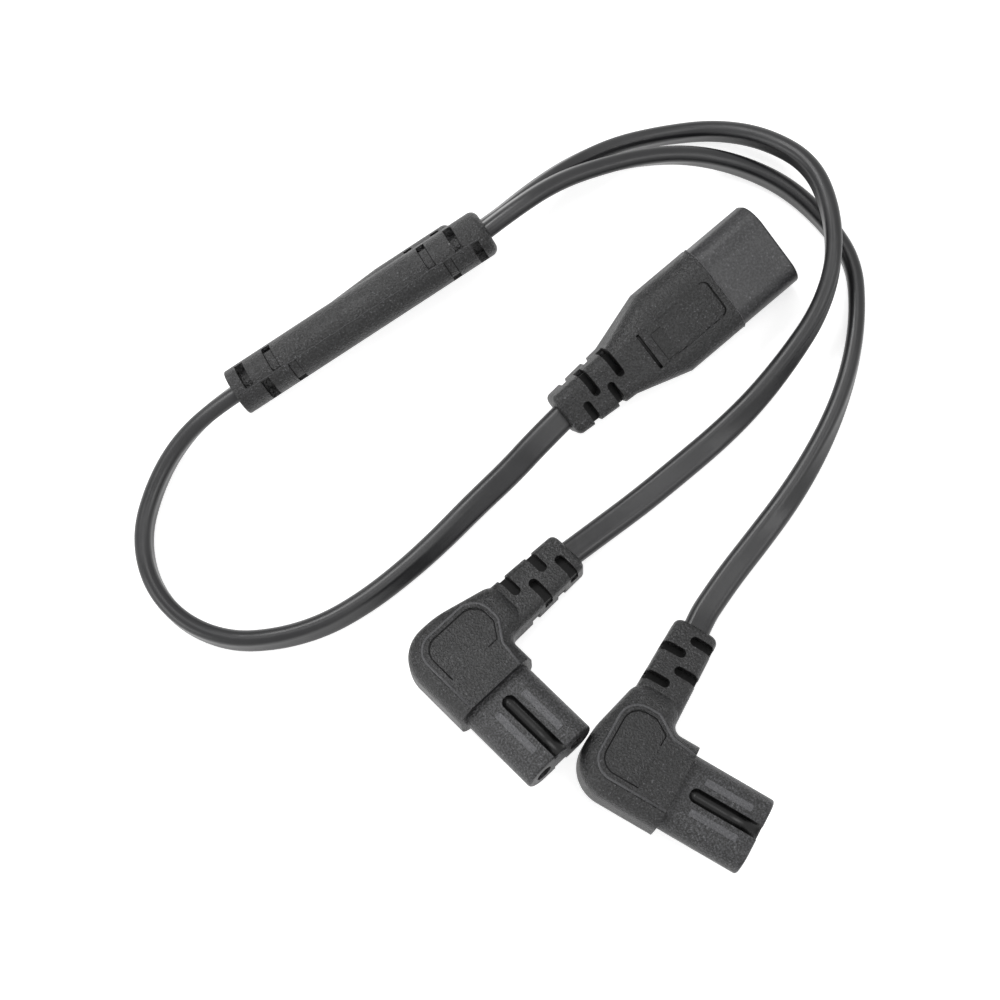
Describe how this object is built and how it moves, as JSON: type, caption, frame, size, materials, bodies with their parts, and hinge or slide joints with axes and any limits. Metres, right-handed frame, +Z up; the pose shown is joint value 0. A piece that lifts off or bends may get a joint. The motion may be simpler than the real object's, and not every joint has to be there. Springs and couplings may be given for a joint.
{
  "type": "figure eight power connector",
  "caption": "Splitter lead with an inline figure-eight inlet, a moulded cord splitter and right-angle figure-eight plugs on flat cords.",
  "frame": {"origin": "on the floor, below the middle of the box round the mouldings, the cords left out", "axes": "+X along the inlet's pins, the way its mouth faces; +Z up from the floor"},
  "size_m": [0.1556, 0.1365, 0.0191],
  "materials": {
    "black_moulding": "fine grain",
    "black_hard_plastic": "satin",
    "black_cord": "gloss",
    "plated_brass": "bright",
    "core_insulation": "satin",
    "inner_mould": "matt"
  },
  "bodies": {
    "root": {"inlet_housing": "black_moulding", "inlet_shroud": "black_hard_plastic", "inlet_pin_left": "plated_brass", "inlet_pin_right": "plated_brass", "inlet_core_left": "core_insulation", "inlet_core_right": "core_insulation", "trunk_cord": "black_cord", "splitter_housing": "black_moulding", "splitter_inner_mould": "inner_mould", "splice_crimp_upper": "plated_brass", "splice_crimp_lower": "plated_brass", "trunk_core_upper": "core_insulation", "branch_a_core_upper": "core_insulation", "branch_b_core_upper": "core_insulation", "trunk_core_lower": "core_insulation", "branch_a_core_lower": "core_insulation", "branch_b_core_lower": "core_insulation", "branch_cord_a": "black_cord", "plug_a_elbow": "black_moulding", "plug_a_nose": "black_hard_plastic", "plug_a_contact_left": "plated_brass", "plug_a_core_left": "core_insulation", "plug_a_contact_right": "plated_brass", "plug_a_core_right": "core_insulation", "branch_cord_b": "black_cord", "plug_b_elbow": "black_moulding", "plug_b_nose": "black_hard_plastic", "plug_b_contact_left": "plated_brass", "plug_b_core_left": "core_insulation", "plug_b_contact_right": "plated_brass", "plug_b_core_right": "core_insulation"}
  },
  "joints": []
}
